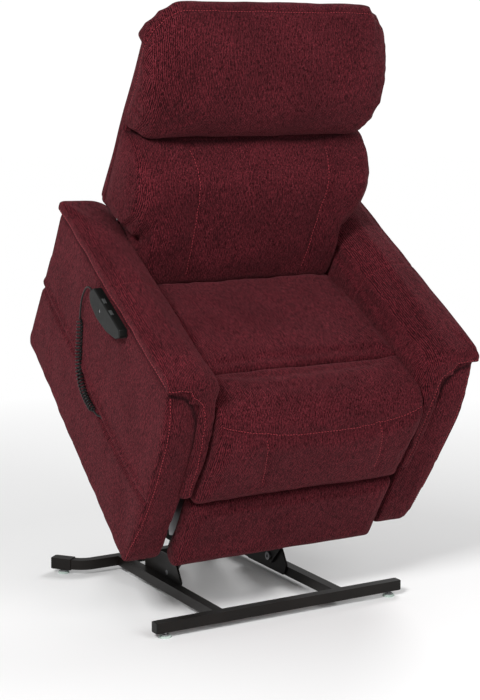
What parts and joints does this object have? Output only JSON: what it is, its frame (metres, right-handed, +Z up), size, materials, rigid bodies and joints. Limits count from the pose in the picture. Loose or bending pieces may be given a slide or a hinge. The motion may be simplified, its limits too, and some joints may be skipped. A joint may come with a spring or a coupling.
{
  "type": "lift recliner chair",
  "caption": "Upholstered power lift recliner chair raised on its steel floor frame, with tilting seat, reclining back, swing-out legrest and corded handset.",
  "frame": {"origin": "on the floor, on the chair's symmetry plane, in the middle of the depth of the raised chair", "axes": "+Z up, the sitter faces -Y, the sitter's right hand is at -X; the chair is raised to standing assist at rest"},
  "size_m": [0.808, 0.8201, 1.3826],
  "materials": {
    "upholstery": "ribbed chenille",
    "frame_paint": "satin",
    "zinc_steel": "zinc plated",
    "dark_plastic": "fine texture",
    "glide_plastic": "smooth",
    "cord_jacket": "semi-matt",
    "board": "raw plywood"
  },
  "bodies": {
    "base": {"front_bar": "frame_paint", "base_rails": "frame_paint", "rear_bar": "frame_paint", "rear_sleeves": "frame_paint", "end_plugs": "dark_plastic", "glide_pads": "glide_plastic", "glide_studs": "zinc_steel", "link_brackets": "frame_paint", "base_pins": "zinc_steel", "lift_motor_bracket": "frame_paint"},
    "front_links": {"front_links": "frame_paint"},
    "rear_links": {"rear_links": "frame_paint", "rear_link_tie_tube": "frame_paint", "rear_chair_pins": "zinc_steel"},
    "chair": {"carriage_plates": "frame_paint", "front_chair_pins": "zinc_steel", "lift_frame_rails": "frame_paint", "seat_box": "board", "lift_head_tube": "frame_paint", "power_box": "dark_plastic", "seat_springs": "zinc_steel", "arm_left": "upholstery", "arm_right": "upholstery", "arm_cap_left": "upholstery", "arm_cap_right": "upholstery", "seat_cushion": "upholstery", "seat_front_roll": "upholstery", "legrest_hinge_brackets": "zinc_steel", "legrest_hinge_pins": "zinc_steel", "back_hinge_brackets": "frame_paint", "back_hinge_pins": "zinc_steel", "chair_motor_brackets": "frame_paint", "chair_motor_pins": "zinc_steel", "handset_front_shell": "dark_plastic", "handset_rear_shell": "dark_plastic", "handset_screw": "zinc_steel", "handset_clip": "dark_plastic", "cord_gland": "dark_plastic", "cord_lead": "cord_jacket", "cord_coil": "cord_jacket", "cord_tail": "cord_jacket", "cord_grommet": "dark_plastic"},
    "legrest": {"leg_pad": "upholstery", "footrest_board": "upholstery", "legrest_arms": "zinc_steel", "legrest_tubes": "frame_paint"},
    "back": {"back_uprights": "frame_paint", "back_cross_bars": "frame_paint", "lumbar_cushion": "upholstery", "head_pillow": "upholstery", "back_shell": "upholstery"},
    "lift_drive": {"lift_motor": "dark_plastic"},
    "lift_push_rod": {"lift_rod": "zinc_steel"},
    "legrest_drive": {"legrest_motor": "dark_plastic"},
    "legrest_push_rod": {"legrest_rod": "zinc_steel"},
    "back_drive": {"back_motor": "dark_plastic"},
    "back_pull_rod": {"back_rod": "zinc_steel"},
    "raise_key": {"handset_raise_key": "dark_plastic"},
    "lower_key": {"handset_lower_key": "dark_plastic"}
  },
  "joints": [
    {"name": "lift", "type": "hinge", "parent": "base", "child": "front_links", "pos_m": [0, 0.107, 0.05], "axis": [1, 0, 0], "range_deg": [0, 43.33]},
    {"name": "chair_tilt", "type": "hinge", "parent": "front_links", "child": "chair", "pos_m": [0, -0.05888, 0.223], "axis": [1, 0, 0], "range_deg": [-75.83, 0]},
    {"name": "rear_link_turn", "type": "hinge", "parent": "base", "child": "rear_links", "pos_m": [0, 0.329, 0.081], "axis": [1, 0, 0], "range_deg": [0, 35.48]},
    {"name": "lift_motor_turn", "type": "hinge", "parent": "base", "child": "lift_drive", "pos_m": [0, 0.319, 0.055], "axis": [1, 0, 0], "range_deg": [0, 8.15]},
    {"name": "lift_rod_turn", "type": "hinge", "parent": "chair", "child": "lift_push_rod", "pos_m": [0, -0.12108, 0.4886], "axis": [1, 0, 0], "range_deg": [0, 40.15]},
    {"name": "legrest_swing", "type": "hinge", "parent": "chair", "child": "legrest", "pos_m": [0, -0.28008, 0.45999], "axis": [1, 0, 0], "range_deg": [-80, 0]},
    {"name": "legrest_motor_turn", "type": "hinge", "parent": "chair", "child": "legrest_drive", "pos_m": [0, 0.25788, 0.54262], "axis": [1, 0, 0], "range_deg": [0, 4.37]},
    {"name": "legrest_rod_turn", "type": "hinge", "parent": "legrest", "child": "legrest_push_rod", "pos_m": [0, -0.21691, 0.43815], "axis": [1, 0, 0], "range_deg": [0, 84.37]},
    {"name": "back_recline", "type": "hinge", "parent": "chair", "child": "back", "pos_m": [0, 0.20998, 0.77212], "axis": [1, 0, 0], "range_deg": [-40, 0]},
    {"name": "back_motor_turn", "type": "hinge", "parent": "chair", "child": "back_drive", "pos_m": [0, -0.10095, 0.3243], "axis": [1, 0, 0], "range_deg": [0, 4.81]},
    {"name": "back_rod_turn", "type": "hinge", "parent": "back", "child": "back_pull_rod", "pos_m": [0, 0.26563, 0.68307], "axis": [1, 0, 0], "range_deg": [0, 44.81]},
    {"name": "raise_key_press", "type": "slide", "parent": "chair", "child": "raise_key", "axis": [0, 0.5299, -0.848], "range_m": [0, 0.0011], "stiffness_N_per_m": 400},
    {"name": "lower_key_press", "type": "slide", "parent": "chair", "child": "lower_key", "axis": [0, 0.5299, -0.848], "range_m": [0, 0.0011], "stiffness_N_per_m": 400}
  ],
  "couplings": [
    {"joint": "chair_tilt", "follows": "lift", "ratio": -1.7385},
    {"joint": "rear_link_turn", "follows": "lift", "ratio": 0.8073},
    {"joint": "lift_motor_turn", "follows": "lift", "ratio": 0.17652},
    {"joint": "lift_rod_turn", "follows": "lift", "ratio": 0.91504},
    {"joint": "legrest_motor_turn", "follows": "legrest_swing", "ratio": -0.04838},
    {"joint": "legrest_rod_turn", "follows": "legrest_swing", "ratio": -1.0484},
    {"joint": "back_motor_turn", "follows": "back_recline", "ratio": -0.10764},
    {"joint": "back_rod_turn", "follows": "back_recline", "ratio": -1.1076}
  ]
}
